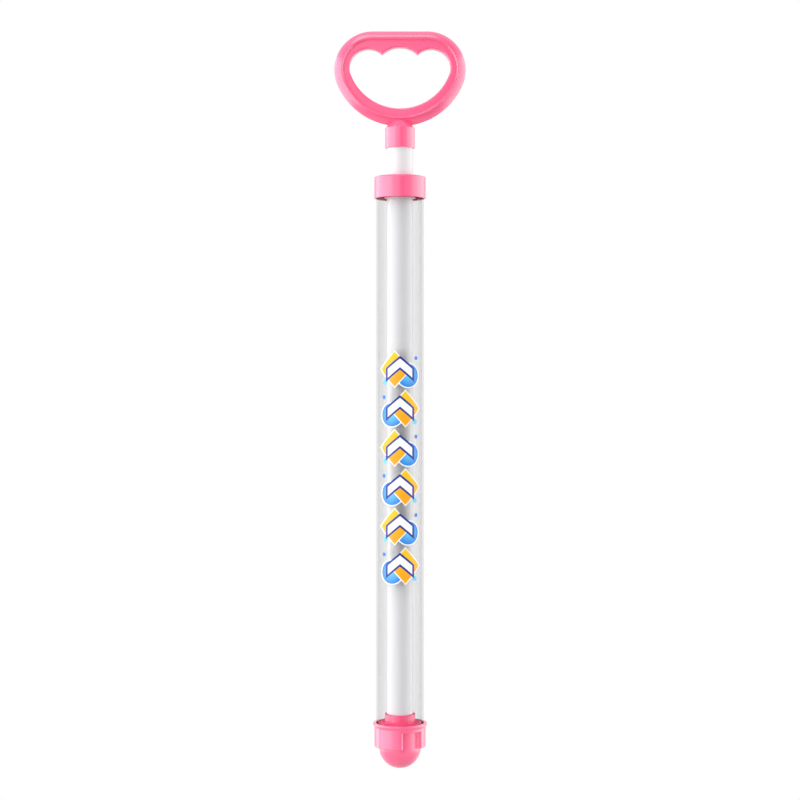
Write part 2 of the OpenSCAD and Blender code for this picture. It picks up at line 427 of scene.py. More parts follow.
# %% Print pattern
FILM_MAP = "film_mm"
CELL = 26.0
SKY_DOT_PLACE, SKY_DOT_R = (-10.6, -8.6), 1.7
BLUE_DOT_PLACE, BLUE_DOT_R = (11.6, 7.4), 1.3
DISC_PLACE, DISC_R, DISC_EDGE = (5.6, -4.2), 7.6, 0.8
DISC_FADE = 0.13
LOZENGE_ACROSS, LOZENGE_NARROW = -3.6, 1.1
LOZENGE_R, LOZENGE_EDGE = 11.6, 1.0
LOZENGE_FADE_FROM, LOZENGE_FADE = -6.0, 0.06
CHEVRON_PEAK, CHEVRON_SLOPE = 4.2, 0.82
CHEVRON_HALF, CHEVRON_EDGE = 2.9, 1.7
CHEVRON_REACH, CHEVRON_END = 8.5, 1.5
INK_YELLOW = linear(255, 206, 10)
INK_ORANGE = linear(255, 170, 0)
INK_SKY = linear(112, 205, 252)
INK_BLUE = linear(24, 128, 226)
INK_NAVY = linear(18, 44, 150)
INK_WHITE = linear(246, 248, 252)


def distance(across, along, place):
    """Distance to a place on the film, in millimetres."""
    aside = across - place[0]
    above = along - place[1]
    return (aside * aside + above * above).sum("SQRT")


def print_layers(tree, across, along):
    """(mask, colour) of each printed shape in one cell, lowest first."""
    disc = distance(across, along, DISC_PLACE)
    lozenge = abs(across - LOZENGE_ACROSS) * LOZENGE_NARROW + abs(along)
    chevron = abs(along - CHEVRON_PEAK + abs(across) * CHEVRON_SLOPE)
    reach = abs(across)
    blue = mixed(tree, disc * DISC_FADE, INK_SKY, INK_BLUE)
    yellow = mixed(tree, (along - LOZENGE_FADE_FROM) * LOZENGE_FADE, INK_ORANGE, INK_YELLOW)
    return [
        (distance(across, along, SKY_DOT_PLACE) < SKY_DOT_R, INK_SKY),
        (distance(across, along, BLUE_DOT_PLACE) < BLUE_DOT_R, INK_BLUE),
        (disc < DISC_R + DISC_EDGE, INK_WHITE),
        (disc < DISC_R, blue),
        (lozenge < LOZENGE_R + LOZENGE_EDGE, INK_WHITE),
        (lozenge < LOZENGE_R, yellow),
        ((chevron < CHEVRON_HALF + CHEVRON_EDGE) * (reach < CHEVRON_REACH + CHEVRON_END), INK_NAVY),
        ((chevron < CHEVRON_HALF) * (reach < CHEVRON_REACH), INK_WHITE),
    ]


print("print cells of", CELL, "mm")

# %% Film finish
FILM_GRAIN_DEPTH = 0.004 * MM


def printed_film():
    """Clear film with its print."""
    material, tree, shader = new_finish("barrel_print")
    spot = add_node(tree, "SeparateXYZ", {0: add_node(tree, "UVMap", uv_map=FILM_MAP).outputs[0]})
    across = Flow(tree, spot.outputs[0])
    along = Flow(tree, spot.outputs[1])
    cell = (along * (1 / CELL)).sum("FLOOR")
    side = (cell.sum("FLOORED_MODULO", 2.0)) * -2.0 + 1.0
    across = across * side
    along = along - (cell + 0.5) * CELL
    colour = INK_WHITE
    cover = None
    for mask, ink in print_layers(tree, across, along):
        colour = mixed(tree, mask, colour, ink)
        cover = cover.most(mask) if cover else mask
    skin = use_group(tree, "moulded skin", {"Grain": 2500.0, "Flow": 120.0})
    set_inputs(tree, shader, {
        "Base Color": colour,
        "Alpha": cover,
        "Roughness": skin["Shade"] * 0.1 + 0.25,
        "Normal": bumped(tree, skin["Height"], FILM_GRAIN_DEPTH),
    })
    return material


film = printed_film()
print("finish:", film.name, "with", len(film.node_tree.nodes), "nodes")

# %% [markdown]
# ## Turning an outline into a piece
#
# A lathe makes most of these shapes: an outline of radius and height is turned about the axis. Blender's
# Screw modifier could do it, but its edges would stay knife sharp, and no moulded edge is. So the outline
# is rounded first: each corner becomes a short arc, with one more point on either side that keeps the
# flat faces flat under smooth shading.

# %% Outline rounding
ROUND_STEPS = 5
HOLD = 0.08 * MM


def rounded(corners, closed=True):
    """Points of an outline of (radius, height, round) corners, with each round drawn as an arc."""
    points = []
    for i, (radius, height, turn) in enumerate(corners):
        here = Vector((radius, height))
        if not turn or (not closed and i in (0, len(corners) - 1)):
            points.append(here)
            continue
        back = (Vector(corners[i - 1][:2]) - here).normalized()
        ahead = (Vector(corners[(i + 1) % len(corners)][:2]) - here).normalized()
        half = back.angle(ahead) / 2
        reach = turn / math.tan(half)
        centre = here + (back + ahead).normalized() * turn / math.sin(half)
        first = (here + back * reach - centre).normalized()
        last = (here + ahead * reach - centre).normalized()
        arc = [centre + first.slerp(last, k / ROUND_STEPS) * turn for k in range(ROUND_STEPS + 1)]
        points += [here + back * (reach + HOLD), *arc, here + ahead * (reach + HOLD)]
    return points


def arc_points(centre_height, radius, start, end, steps):
    """Points of an arc about a centre on the axis, with angles in degrees from the radius."""
    angles = [math.radians(start + (end - start) * k / steps) for k in range(steps + 1)]
    return [Vector((radius * math.cos(a), centre_height + radius * math.sin(a))) for a in angles]


square = [(0, 0, 0), (1, 0, 0.2), (1, 1, 0), (0, 1, 0)]
print("points on a square with one round corner:", len(rounded(square)))

# %% Lathe and piece helpers
ROUND_COUNT = 180
ON_AXIS = 0.001 * MM
SHARP = math.radians(40)


def close_rings(mesh, rings):
    """Faces between each ring of vertices and the next, and from the last back to the first."""
    for ring, following in zip(rings, rings[1:] + rings[:1]):
        for i, vertex in enumerate(ring):
            j = (i + 1) % len(ring)
            corners = list(dict.fromkeys((vertex, ring[j], following[j], following[i])))
            if len(corners) > 2:
                mesh.faces.new(corners)


def turned(outline):
    """Mesh made by turning a closed outline about the axis."""
    mesh = bmesh.new()
    rings = []
    for radius, height in outline:
        if radius < ON_AXIS:
            rings.append([mesh.verts.new((0, 0, height))] * ROUND_COUNT)
            continue
        angles = [2 * math.pi * k / ROUND_COUNT for k in range(ROUND_COUNT)]
        rings.append([mesh.verts.new((radius * math.cos(a), radius * math.sin(a), height)) for a in angles])
    close_rings(mesh, rings)
    return mesh


def to_mesh(name, mesh):
    """Mesh data with outward normals and smooth shading, and sharp edges where faces really turn."""
    bmesh.ops.recalc_face_normals(mesh, faces=mesh.faces)
    data = bpy.data.meshes.new(name)
    mesh.to_mesh(data)
    mesh.free()
    data.shade_smooth()
    data.set_sharp_from_angle(angle=SHARP)
    return data


def add_piece(name, data, body, finish, node):
    """Object of a mesh, which rides on a body and takes the place of one CAD node, which it hides."""
    piece = bpy.data.objects.new(name, data)
    bpy.context.scene.collection.objects.link(piece)
    data.materials.clear()
    data.materials.append(finish)
    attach(piece, body)
    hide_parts(node)
    print(f"{name}: {len(data.polygons)} faces, rides on {body}")
    return piece


def add_turned(name, corners, body, finish, node):
    """Piece turned from an outline of (radius, height, round) corners."""
    return add_piece(name, to_mesh(name, turned(rounded(corners))), body, finish, node)


print("columns round a turned piece:", ROUND_COUNT)

# %% [markdown]
# ## Barrel and rod
#
# Both are plain drawn tubes, cut square. Their cut edges are eased by a fraction of a millimetre, as a saw
# and a wipe leave them, so that the rim of the clear tube catches a line of light.

# %% Barrel and rod
CUT_ROUND = 0.25 * MM


def tube_corners(name):
    """Outline of a straight tube with eased ends."""
    inner, outer, low, high = tube_sizes(name)
    ends = [(inner, low), (outer, low), (outer, high), (inner, high)]
    return [(radius, height, CUT_ROUND) for radius, height in ends]


add_turned("clear_barrel", tube_corners("barrel_tube"), "barrel", clear, "barrel_tube")
add_turned("hollow_rod", tube_corners("plunger_rod"), "plunger", white, "plunger_rod")

# %% [markdown]
# ## Printed film on the barrel
#
# The film is a thin curved sheet that follows the barrel's front. It is a closed shell of two curved
# faces, and its map holds millimetres across and along, measured from its middle, so that the print above
# needs no other size. Bending a flat grid with a modifier would give the same, but the map would be lost
# in the export.

# %% Film sheet
FILM_STEPS = 48


def film_sheet():
    """Mesh of the film, with its map in millimetres."""
    inner, outer, low, high = tube_sizes("label_film")
    half_turn = math.asin(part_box("label_film")[1].x / outer)
    middle = (low + high) / 2
    mesh = bmesh.new()
    sheet_map = mesh.loops.layers.uv.new(FILM_MAP)
    rings = []
    for k in range(FILM_STEPS + 1):
        turn = half_turn * (2 * k / FILM_STEPS - 1)
        corners = [(outer, low), (outer, high), (inner, high), (inner, low)]
        rings.append([mesh.verts.new((r * math.sin(turn), -r * math.cos(turn), z)) for r, z in corners])
    for ring, following in zip(rings, rings[1:]):
        for i in range(len(ring)):
            mesh.faces.new((ring[i - 1], ring[i], following[i], following[i - 1]))
    mesh.faces.new(rings[0])
    mesh.faces.new(rings[-1])
    for face in mesh.faces:
        for loop in face.loops:
            x, y, z = loop.vert.co
            loop[sheet_map].uv = (math.atan2(x, -y) * outer / MM, (z - middle) / MM)
    return to_mesh("print_film", mesh)


add_piece("print_film", film_sheet(), "barrel", film, "label_film")

# %% [markdown]
# ## Guide collar
#
# The collar is a moulded cap with a hole: a skirt glued over the barrel, a top plate and a guide boss that
# reaches down inside the barrel round the rod. All of it is one outline, read from the CAD corners, with a
# wide round on the top edge where the thumb rests.

# %% Collar
COLLAR_ROUND = 1.0 * MM
EDGE_ROUND = 0.3 * MM


def collar_corners():
    """Outline of the collar."""
    guide_r, collar_r, low, high = tube_sizes("collar_cap")
    boss_low = heights_at("collar_cap", guide_r)[0]
    boss_r = radii_at("collar_cap", boss_low)[-1]
    cup_r = radii_at("collar_cap", low)[0]
    plate_low = heights_at("collar_cap", cup_r)[-1]
    return [
        (guide_r, high, EDGE_ROUND),
        (guide_r, boss_low, EDGE_ROUND),
        (boss_r, boss_low, EDGE_ROUND),
        (boss_r, plate_low, EDGE_ROUND),
        (cup_r, plate_low, EDGE_ROUND),
        (cup_r, low, EDGE_ROUND),
        (collar_r, low, EDGE_ROUND),
        (collar_r, high, COLLAR_ROUND),
    ]


add_turned("guide_collar", collar_corners(), "barrel", pink, "collar_cap")

# %% [markdown]
# ## Piston
#
# Three small pieces make the piston: the hub, whose flange backs the seal and whose sleeve and spigot hold
# the rod, the rubber seal, and a button whose stem clamps the seal to the hub. They show only through the
# barrel, but they come into view along its whole length when the plunger is drawn, so they are whole.

# %% Hub
def hub_corners():
    """Outline of the hub, from the top of its spigot round to its blind hole."""
    radii = radii_of("piston_hub")
    flange_r, hub_r, sleeve_r, spigot_r, hole_r = [r for r in reversed(radii) if r > ON_AXIS][:5]
    flange_low = heights_at("piston_hub", flange_r)[0]
    flange_top = heights_at("piston_hub", flange_r)[-1]
    sleeve_top = heights_at("piston_hub", hub_r)[-1]
    spigot_top = heights_at("piston_hub", spigot_r)[-1]
    hole_top = heights_at("piston_hub", hole_r)[-1]
    return [
        (0, spigot_top, 0),
        (spigot_r, spigot_top, EDGE_ROUND),
        (spigot_r, flange_top, 0),
        (sleeve_r, flange_top, 0),
        (sleeve_r, sleeve_top, EDGE_ROUND),
        (hub_r, sleeve_top, EDGE_ROUND),
        (hub_r, flange_top, EDGE_ROUND),
        (flange_r, flange_top, EDGE_ROUND),
        (flange_r, flange_low, EDGE_ROUND),
        (hole_r, flange_low, EDGE_ROUND),
        (hole_r, hole_top, 0),
        (0, hole_top, 0),
    ]


add_turned("piston_sleeve", hub_corners(), "plunger", pink_matt, "piston_hub")

# %% Seal and its button
SEAL_ROUND_SHARE = 0.45
BUTTON_ROUND = 1.5 * MM


def seal_corners():
    """Outline of the flat seal with its round rim."""
    hole_r, seal_r, low, high = tube_sizes("piston_seal")
    rim = SEAL_ROUND_SHARE * (high - low)
    return [(hole_r, low, EDGE_ROUND), (seal_r, low, rim), (seal_r, high, rim), (hole_r, high, EDGE_ROUND)]


def button_corners():
    """Outline of the button and its stem."""
    _, button_r, low, stem_top = tube_sizes("piston_retainer")
    button_top = heights_at("piston_retainer", button_r)[-1]
    stem_r = radii_at("piston_retainer", stem_top)[-1]
    return [
        (0, low, 0),
        (button_r, low, BUTTON_ROUND),
        (button_r, button_top, EDGE_ROUND),
        (stem_r, button_top, EDGE_ROUND),
        (stem_r, stem_top, EDGE_ROUND),
        (0, stem_top, 0),
    ]


add_turned("seal_disc", seal_corners(), "seal", rubber, "piston_seal")
add_turned("seal_button", button_corners(), "plunger", pink_matt, "piston_retainer")

# %% [markdown]
# ## Nozzle cap
#
# The cap is turned too, apart from its two grip lobes. A boolean of lobes and core would leave hard seams,
# so the cap is one skin whose rows have two outlines: one over a lobe and one down a flute. Each column of
# the skin takes a share between them, and the share climbs smoothly over the lobe's flank, which rounds
# all its edges at once. A lobe starts with a leaning flank and ends with a steep one. A shallow groove up
# each lobe is the seam where the halves of the mould met.

# %% Sizes of the cap
CAP = "nozzle_cap"
upright_walls = [r for r in reversed(radii_of(CAP)) if len(heights_at(CAP, r)) > 1]
lip_r, skirt_r, lobe_r, cup_r, core_r, cavity_r = upright_walls[:6]
nozzle_r = upright_walls[-1]
tip_r = radii_at(CAP, 0)[-1]
dome_z = math.sqrt(core_r ** 2 - tip_r ** 2)
lobe_z = heights_at(CAP, lobe_r)[0]
flute_top, flare_z = heights_at(CAP, skirt_r)
lip_z, cap_top = heights_at(CAP, lip_r)
seat_z = heights_at(CAP, cup_r)[0]
floor_z = heights_at(CAP, nozzle_r)[-1]
print("cap radii in mm:", [round(r / MM, 2) for r in upright_walls])

# %% Columns of the cap
END_LEAN, END_ROOT = 0.25 * MM, 0.4 * MM
START_LEAN, START_ROOT = 1.6 * MM, 1.2 * MM
FLANK_CREST = 1.9 * MM
FLANK_FOOT, FLANK_HEAD = 1.0 * MM, 2.4 * MM
FLUTE_LEAST = math.radians(15)
FLUTE_STEPS, LOBE_STEPS, SEAM_STEPS = 16, 70, 10
CAP_SEAM_TURN = math.radians(-140)
CAP_SEAM_HALF = math.radians(1.8)
CAP_SEAM_DEPTH = 0.3 * MM


def flutes():
    """(end of one lobe, start of the next) as angles, read off the CAD cap."""
    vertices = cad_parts[CAP].data.vertices
    angles = sorted(math.atan2(v.co.y, v.co.x) for v in vertices if abs(v.co.xy.length - lobe_r) < SAME)
    pairs = zip(angles, angles[1:] + [angles[0] + 2 * math.pi])
    return [(end, start) for end, start in pairs if start - end > FLUTE_LEAST]


def flank(lean, root):
    """(turn, lobe share) up a leaning flank, from the flute over its round root and crest to the lobe."""
    climb = lobe_r - core_r
    corners = [
        (-FLANK_FOOT, 0, 0),
        (0, 0, root),
        (lean, climb, FLANK_CREST),
        (FLANK_HEAD + lean, climb, 0),
    ]
    return [(point.x / lobe_r, point.y / climb) for point in rounded(corners, closed=False)]


def columns():
    """(angle, lobe share) of each column of the cap's skin."""
    made = []
    gaps = flutes()
    fall, rise = flank(END_LEAN, END_ROOT), flank(START_LEAN, START_ROOT)
    foot = -rise[0][0]
    tail, head = fall[-1][0], rise[-1][0]
    for (end, start), (next_end, _) in zip(gaps, gaps[1:] + [(gaps[0][0] + 2 * math.pi, 0)]):
        made += [(end - turn, share) for turn, share in reversed(fall)]
        for k in range(1, FLUTE_STEPS):
            made.append((end + foot + (start - end - 2 * foot) * k / FLUTE_STEPS, 0))
        made += [(start + turn, share) for turn, share in rise]
        for k in range(1, LOBE_STEPS):
            made.append((start + head + (next_end - start - head - tail) * k / LOBE_STEPS, 1))
    first = made[0][0]
    for side in (0, math.pi):
        for k in range(SEAM_STEPS + 1):
            turn = CAP_SEAM_TURN + side + CAP_SEAM_HALF * (2 * k / SEAM_STEPS - 1)
            made.append((first + (turn - first) % (2 * math.pi), 1))
    return sorted(made)


def seam_depth(angle):
    """Depth of the two upright mould seams at an angle: a shallow round groove."""
    off = (angle - CAP_SEAM_TURN + math.pi / 2) % math.pi - math.pi / 2
    return CAP_SEAM_DEPTH * max(1 - (off / CAP_SEAM_HALF) ** 2, 0) ** 2


print("flutes, degrees:", [[round(math.degrees(a)) for a in pair] for pair in flutes()])

# %% Rows of the cap
LOBE_ROUND = 0.6 * MM
ROOT_ROUND = 0.25 * MM
LIP_ROUND = 0.45 * MM
FLARE_ROUND = 0.3 * MM
CLIMB = 0.03 * MM
FLUTE_END = 0.95 * MM
DOME_STEPS, CAVITY_STEPS = 20, 12


def climbing(points, radius_at):
    """Points beside the given ones, at the same heights but always rising, at the radius for that height."""
    made = []
    height = -1.0
    for point in points:
        height = max(point.y, height + CLIMB)
        made.append(Vector((radius_at(height), height)))
    return made


def lobe_rows():
    """(flute point, lobe point) pairs from the dome's rim to the skirt."""
    low = [
        (core_r, dome_z + HOLD, 0),
        (core_r, lobe_z, ROOT_ROUND),
        (lobe_r, lobe_z, LOBE_ROUND),
        (lobe_r, flute_top - FLUTE_END - HOLD, 0),
    ]
    high = [
        (core_r, flute_top - FLUTE_END, 0),
        (core_r, flute_top, LOBE_ROUND),
        (skirt_r, flute_top, EDGE_ROUND),
        (skirt_r, flute_top + FLUTE_END, 0),
    ]
    over_lobe = rounded(low, closed=False)
    in_flute = climbing(over_lobe, lambda height: core_r)
    flute_end = rounded(high, closed=False)
    lobe_end = climbing(flute_end, lambda height: lobe_r if height < flute_top else skirt_r)
    return [*zip(in_flute, over_lobe), *zip(flute_end, lobe_end)]


def cap_rows():
    """(flute point, lobe point) pairs of the whole closed outline, from the nozzle bore outwards."""
    tip_angle = -math.degrees(math.asin(dome_z / core_r))
    cavity_angle = -math.degrees(math.asin((dome_z - floor_z) / cavity_r))
    inner_dome = arc_points(dome_z, cavity_r, 0, cavity_angle, CAVITY_STEPS)
    mouth = rounded([(nozzle_r, floor_z, 0), (nozzle_r, 0, EDGE_ROUND), (tip_r, 0, 0)], closed=False)
    dome = arc_points(dome_z, core_r, tip_angle, 0, DOME_STEPS)[1:]
    cup = rounded([
        (skirt_r, flute_top + FLUTE_END + HOLD, 0),
        (skirt_r, flare_z, FLARE_ROUND),
        (lip_r, lip_z, FLARE_ROUND),
        (lip_r, cap_top, LIP_ROUND),
        (cup_r, cap_top, EDGE_ROUND),
        (cup_r, seat_z, 0),
        (cavity_r, seat_z, EDGE_ROUND),
        (cavity_r, dome_z + HOLD, 0),
    ], closed=False)
    below = [(point, point) for point in mouth + dome]
    above = [(point, point) for point in cup + inner_dome]
    return below + lobe_rows() + above


print("cap rows:", len(cap_rows()), "columns:", len(columns()))

# %% Cap
def cap_skin():
    """Mesh of the cap, with each vertex between its row's flute point and lobe point."""
    mesh = bmesh.new()
    turns = columns()
    rings = []
    for in_flute, over_lobe in cap_rows():
        ring = []
        for angle, share in turns:
            radius, height = in_flute.lerp(over_lobe, share)
            if lobe_r - SAME < radius < skirt_r + SAME:
                radius -= seam_depth(angle)
            ring.append(mesh.verts.new((radius * math.cos(angle), radius * math.sin(angle), height)))
        rings.append(ring)
    close_rings(mesh, rings)
    return to_mesh("nozzle_dome", mesh)


add_piece("nozzle_dome", cap_skin(), "barrel", pink, CAP)

# %% [markdown]
# ## Loop handle
#
# The handle is a moulded loop: a bevelled rim with a fine bead along its inner edge, and inside it a
# thinner flat web with three finger scallops. It could be carved with booleans, but the rim's section has
# to run evenly round the whole loop. So the loop is a skin of columns and rows. A column stands at one
# place on the outline, and each row lies at a set distance in from the rim or out from the finger opening,
# with its own depth.

# %% Sizes of the loop
LOOP_H = 63.4 * MM
BELLY_DROP = 11.9 * MM
RIM_R = 5.2 * MM
RIM_BAND = 6.0 * MM
WEB_T = 7.0 * MM
SIDE_W = 10.33 * MM
GRIP_H = 12.1 * MM
MID_GRIP_H = 11.0 * MM
BELLY_W = 11.6 * MM
FINGER_R = 12.67 * MM
MID_FINGER_R = 16.93 * MM

loop_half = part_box("handle")[1].x
loop_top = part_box("handle")[1].z
loop_z = loop_top - LOOP_H
corner_r = (LOOP_H - BELLY_DROP) / 2
corner = Vector((loop_half - corner_r, loop_top - corner_r))
belly_rise = (corner.x ** 2 - BELLY_DROP ** 2) / (2 * BELLY_DROP)
belly_r = corner.y - loop_z + belly_rise
belly_angle = math.degrees(math.atan2(belly_rise, corner.x))
print("loop in mm:", [round(v / MM, 2) for v in (corner_r, *corner, belly_r)])
print("belly angle in degrees:", round(belly_angle, 1))

# %% Outline of the loop
COLUMN_STEP = 0.55 * MM


def outline_arc(centre, radius, start, end):
    """(point, outward direction) along an arc of the loop's outline, without its last point."""
    count = round(abs(math.radians(end - start)) * radius / COLUMN_STEP)
    made = []
    for k in range(count):
        angle = math.radians(start + (end - start) * k / count)
        outward = Vector((math.cos(angle), math.sin(angle)))
        made.append((centre + outward * radius, outward))
    return made


def loop_outline():
    """(point, outward direction) of each column, from the belly's middle round to the right."""
    belly_centre = Vector((0, loop_z + belly_r))
    mirrored = Vector((-corner.x, corner.y))
    count = round(2 * corner.x / COLUMN_STEP)
    bar = [(Vector((corner.x * (1 - 2 * k / count), loop_top)), Vector((0, 1))) for k in range(count)]
    return [
        *outline_arc(belly_centre, belly_r, -90, -belly_angle),
        *outline_arc(corner, corner_r, -belly_angle, 90),
        *bar,
        *outline_arc(mirrored, corner_r, 90, 180 + belly_angle),
        *outline_arc(belly_centre, belly_r, 180 + belly_angle, 270),
    ]


print("columns round the loop:", len(loop_outline()))

# %% [markdown]
# The finger opening is four arcs: two outer fingers, a middle finger and a long lower arc that touches the
# outer two. Seen from a point inside it, every direction meets the opening's edge once, so the edge is found
# by shooting a ray at each arc. Where two scallops meet, the two distances are blended over a few
# millimetres, which rounds the points between the fingers.

# %% Edge of the finger opening
CUSP_BLEND = 5.0 * MM
RAY_H = 33.0 * MM
ray_start = Vector((0, loop_z + RAY_H))
finger = Vector((loop_half - SIDE_W - FINGER_R, loop_top - GRIP_H - FINGER_R))
mid_finger = Vector((0, loop_top - MID_GRIP_H - MID_FINGER_R))
finger_drop = finger.y - FINGER_R - loop_z - BELLY_W
lower_rise = (finger.x ** 2 - finger_drop ** 2) / (2 * finger_drop)
lower = Vector((0, finger.y + lower_rise))
lower_r = lower.y - loop_z - BELLY_W


def ray_length(direction, centre, radius):
    """Distance from the ray's start to the far side of a circle, or 0 where it misses."""
    along = direction.dot(centre - ray_start)
    room = along ** 2 - (centre - ray_start).length_squared + radius ** 2
    return along + math.sqrt(room) if room > 0 else 0.0


def opening_edge(direction, offset):
    """Point in a direction that lies an offset out from the opening's edge."""
    right = Vector((abs(direction.x), direction.y))
    meeting = finger + (finger - lower).normalized() * (FINGER_R + offset) - ray_start
    if right.y < meeting.normalized().y:
        return ray_start + direction * ray_length(direction, lower, lower_r + offset)
    outer = ray_length(right, finger, FINGER_R + offset)
    middle = ray_length(right, mid_finger, MID_FINGER_R + offset)
    blend = max(CUSP_BLEND - abs(outer - middle), 0) / CUSP_BLEND
    return ray_start + direction * (max(outer, middle) + blend * blend * CUSP_BLEND / 4)


print("opening in mm:", [round(v / MM, 2) for v in (*finger, *mid_finger, lower_r)])

# %% Section of the loop
SECTION_STEPS = 14
RIM_CURVE = 11.0 * MM
BEAD_W, BEAD_H = 1.6 * MM, 0.65 * MM
BEAD_LEAN = 0.2 * MM
BEAD_ROUND, BEAD_EDGE = 0.2 * MM, 0.1 * MM
SLOPE_W, SLOPE_H = 0.8 * MM, 0.7 * MM
STEP_ROUND = 0.2 * MM
OPENING_ROUND = 1.1 * MM
SEAM_H = 0.05 * MM
SEAM_W = 0.25 * MM


def rim_section():
    """(distance in from the outline, depth) from the mould seam over bevel and bead down to the web."""
    seam = Vector((SEAM_H, 2 * SEAM_W))
    bevel = Vector((RIM_BAND - BEAD_W, RIM_R - BEAD_H))
    chord = bevel - seam
    slope = math.atan2(chord.y, chord.x)
    bend = math.asin(chord.length / (2 * RIM_CURVE))
    corners = []
    for k in range(SECTION_STEPS + 1):
        tilt = slope + bend * (1 - 2 * k / SECTION_STEPS)
        inset = bevel.x - RIM_CURVE * (math.sin(tilt) - math.sin(slope - bend))
        corners.append((inset, bevel.y + RIM_CURVE * (math.cos(tilt) - math.cos(slope - bend)), 0))
    corners += [
        (bevel.x + BEAD_LEAN, RIM_R, BEAD_ROUND),
        (RIM_BAND - SLOPE_W, RIM_R, BEAD_ROUND),
        (RIM_BAND, RIM_R - SLOPE_H, BEAD_EDGE),
        (RIM_BAND, WEB_T / 2, STEP_ROUND),
        (RIM_BAND + 2 * STEP_ROUND, WEB_T / 2, 0),
    ]
    return [Vector((0, 0)), Vector((SEAM_H, SEAM_W)), *rounded(corners, closed=False)]


def opening_section():
    """(distance out from the opening's edge, depth) from the web over the rounded edge to the mould seam."""
    corners = [
        (2 * OPENING_ROUND, WEB_T / 2, 0),
        (0, WEB_T / 2, OPENING_ROUND),
        (0, SEAM_W, 0),
    ]
    return [*rounded(corners, closed=False), Vector((-SEAM_H, 0))]


print("rows from rim to opening:", len(rim_section()) + len(opening_section()))

# %% Loop skin
def loop_skin():
    """Mesh of the loop without its socket."""
    rim = loop_outline()
    rays = [(point - outward * RIM_BAND - ray_start).normalized() for point, outward in rim]
    front = [[(p - o * inset, depth) for p, o in rim] for inset, depth in rim_section()]
    front += [[(opening_edge(ray, offset), depth) for ray in rays] for offset, depth in opening_section()]
    back = [[(p, -depth) for p, depth in row] for row in front[-2:0:-1]]
    mesh = bmesh.new()
    rings = [[mesh.verts.new((p.x, -depth, p.y)) for p, depth in row] for row in front + back]
    close_rings(mesh, rings)
    return to_mesh("loop_skin", mesh)


loop_data = loop_skin()
print("loop skin:", len(loop_data.polygons), "faces")

# %% [markdown]
# The socket below the loop is turned: a sleeve that takes the rod, and a cone that runs up into the belly of
# the loop. Rim and cone meet in a crisp line on the real moulding, so an exact boolean union joins the two
# skins and takes away what lies inside.

# %% Socket
SOCKET_ROUND = 0.4 * MM


def socket_corners():
    """Outline of the rod's socket and its cone."""
    socket_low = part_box("handle")[0].z
    rod_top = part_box("plunger_rod")[1].z
    radii = [r for r in radii_at("handle", rod_top) if r > ON_AXIS]
    bore_r, socket_r = radii[0], radii[-1]
    return [
        (0, rod_top + socket_r, 0),
        (socket_r, rod_top, EDGE_ROUND),
        (socket_r, socket_low, SOCKET_ROUND),
        (bore_r, socket_low, EDGE_ROUND),
        (bore_r, rod_top, 0),
        (0, rod_top, 0),
    ]


def united(first, second):
    """One mesh of two closed meshes, without the faces inside."""
    pair = [bpy.data.objects.new("union_part", data) for data in (first, second)]
    for part in pair:
        bpy.context.scene.collection.objects.link(part)
    union = pair[0].modifiers.new("union", "BOOLEAN")
    union.operation = "UNION"
    union.solver = "EXACT"
    union.object = pair[1]
    whole = pair[0].evaluated_get(bpy.context.evaluated_depsgraph_get())
    data = bpy.data.meshes.new_from_object(whole)
    for part in pair:
        bpy.data.objects.remove(part)
    data.shade_smooth()
    data.set_sharp_from_angle(angle=SHARP)
    return data


socket_data = to_mesh("socket_skin", turned(rounded(socket_corners())))
add_piece("finger_loop", united(loop_data, socket_data), "plunger", pink, "handle")

# %% [markdown]
# ## Floor and white surround
#
# The toy is shown on plain white. The floor is a pale sheet below the nozzle that takes the toy's shadow,
# and further out it turns into the same white as the surround. White here is a strength of 1 that only the
# camera, glossy and transmitted rays see, so the surround adds no light to the plastic.

# %% Floor
FLOOR_Z = -90 * MM
FLOOR_HALF = 0.3
SHADOW_R = 0.09
WHITE_R = 0.17
FLOOR_PALE = linear(224, 224, 224)
FLOOR_GREY = linear(220, 220, 220)


def seen_rays(tree):
    """1 for camera, glossy and transmitted rays, 0 for the rest."""
    path = add_node(tree, "LightPath").outputs
    return Flow(tree, path["Is Camera Ray"]).most(path["Is Glossy Ray"]).most(path["Is Transmission Ray"])


def floor_finish():
    """Pale floor near the toy that fades to plain white further out."""
    material, tree, shader = new_finish("pale_floor")
    place = place_in(tree)
    far = add_node(tree, "VectorMath", {0: place}, operation="LENGTH").outputs["Value"]
    fade = add_node(tree, "MapRange", {0: far, 1: SHADOW_R, 2: WHITE_R}, interpolation_type="SMOOTHSTEP")
    grain = noise_in(tree, place, 300.0, 2.0)
    set_inputs(tree, shader, {
        "Base Color": mixed(tree, grain, FLOOR_PALE, FLOOR_GREY),
        "Roughness": 0.9,
        "Specular IOR Level": 0.1,
    })
    glow = add_node(tree, "Emission", {"Color": (1, 1, 1, 1), "Strength": 1.0})
    share = seen_rays(tree) * fade.outputs[0]
    chosen = add_node(tree, "MixShader", {0: share, 1: shader.outputs[0], 2: glow.outputs[0]})
    set_inputs(tree, tree.nodes["Material Output"], {"Surface": chosen.outputs[0]})
    return material


def pale_floor():
    """Square floor sheet below the toy."""
    mesh = bmesh.new()
    corners = [(-1, -1), (1, -1), (1, 1), (-1, 1)]
    mesh.faces.new([mesh.verts.new((FLOOR_HALF * x, FLOOR_HALF * y, 0)) for x, y in corners])
    floor = bpy.data.objects.new("pale_floor", to_mesh("pale_floor", mesh))
    floor.location.z = FLOOR_Z
    floor.data.materials.append(floor_finish())
    bpy.context.scene.collection.objects.link(floor)


pale_floor()
print("floor at", FLOOR_Z / MM, "mm")

